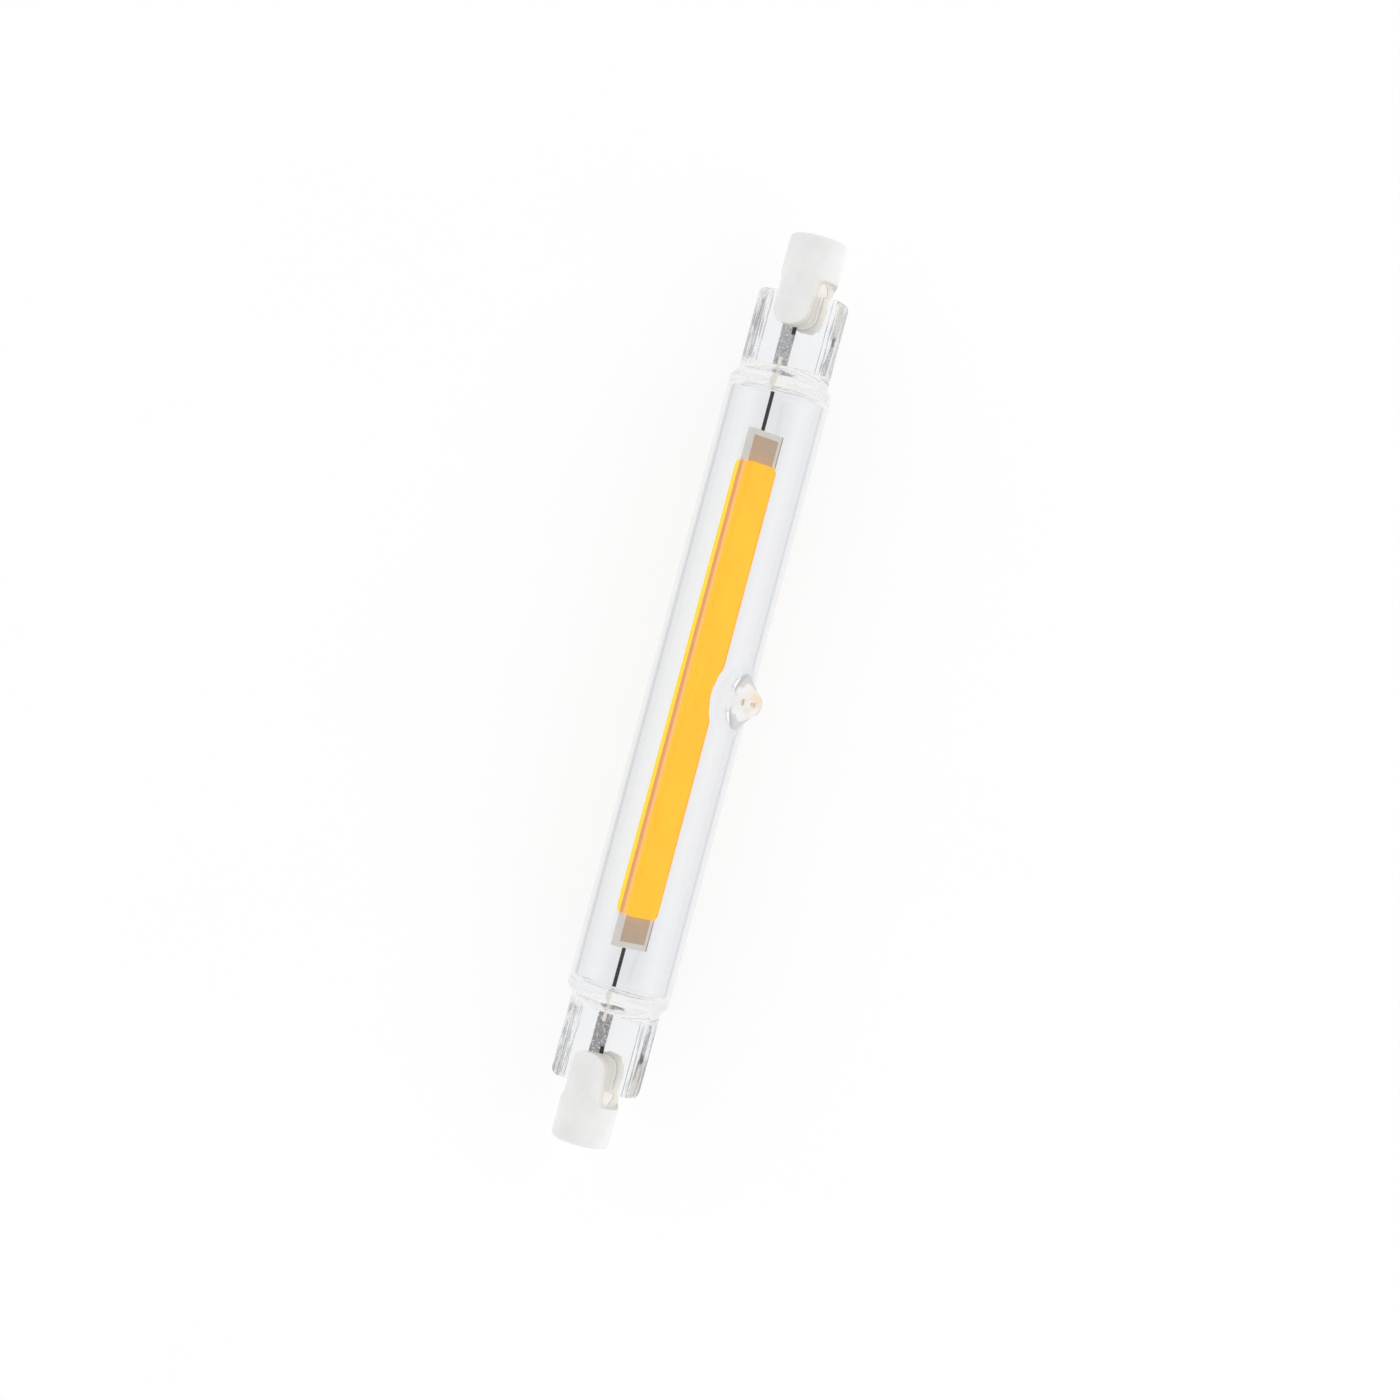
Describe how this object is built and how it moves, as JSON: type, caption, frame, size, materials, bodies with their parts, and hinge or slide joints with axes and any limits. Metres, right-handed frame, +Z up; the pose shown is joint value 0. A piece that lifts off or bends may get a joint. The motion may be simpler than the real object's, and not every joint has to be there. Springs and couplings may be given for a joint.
{
  "type": "linear led bulb",
  "caption": "Double-ended linear LED lamp: a clear glass tube with pressed ends, a strip of phosphor-coated LEDs inside, and ceramic caps with recessed contacts.",
  "frame": {"origin": "On the surface that the lamp lies on, under the middle of its outline. The axis of the tube runs along X at y 0.7 mm and z 6.6 mm.", "axes": "+X runs along the lamp from the left cap to the right cap, +Z is up, away from the surface, and the exhaust stem leans to the -Y side."},
  "size_m": [0.1176, 0.0146, 0.0136],
  "materials": {
    "clear_glass": "clear, fire-polished",
    "cap_ceramic": "matte white, unglazed",
    "contact_metal": "nickel plated",
    "cement": "matte cream",
    "foil_metal": "rolled foil, slightly crinkled",
    "lead_wire": "dark drawn wire",
    "solder": "bright, smooth",
    "strip_glass": "clear plate, ground edges",
    "pad_silver": "matte printed silver",
    "circuit_metal": "matte printed silver",
    "chip": "smooth",
    "phosphor_silicone": "satin yellow silicone"
  },
  "bodies": {
    "root": {"glass_envelope": "clear_glass", "ceramic_cap_left": "cap_ceramic", "ceramic_cap_right": "cap_ceramic", "contact_left": "contact_metal", "contact_right": "contact_metal", "cement_left": "cement", "cement_right": "cement", "seal_foil_left": "foil_metal", "seal_foil_right": "foil_metal", "outer_lead_left": "lead_wire", "outer_lead_right": "lead_wire", "inner_lead_left": "lead_wire", "inner_lead_right": "lead_wire", "solder_left": "solder", "solder_right": "solder", "strip_substrate": "strip_glass", "pad_left_front": "pad_silver", "pad_right_front": "pad_silver", "pad_left_back": "pad_silver", "pad_right_back": "pad_silver", "circuit_front": "circuit_metal", "circuit_back": "circuit_metal", "led_chips_front": "chip", "led_chips_back": "chip", "phosphor_front": "phosphor_silicone", "phosphor_back": "phosphor_silicone"}
  },
  "joints": []
}
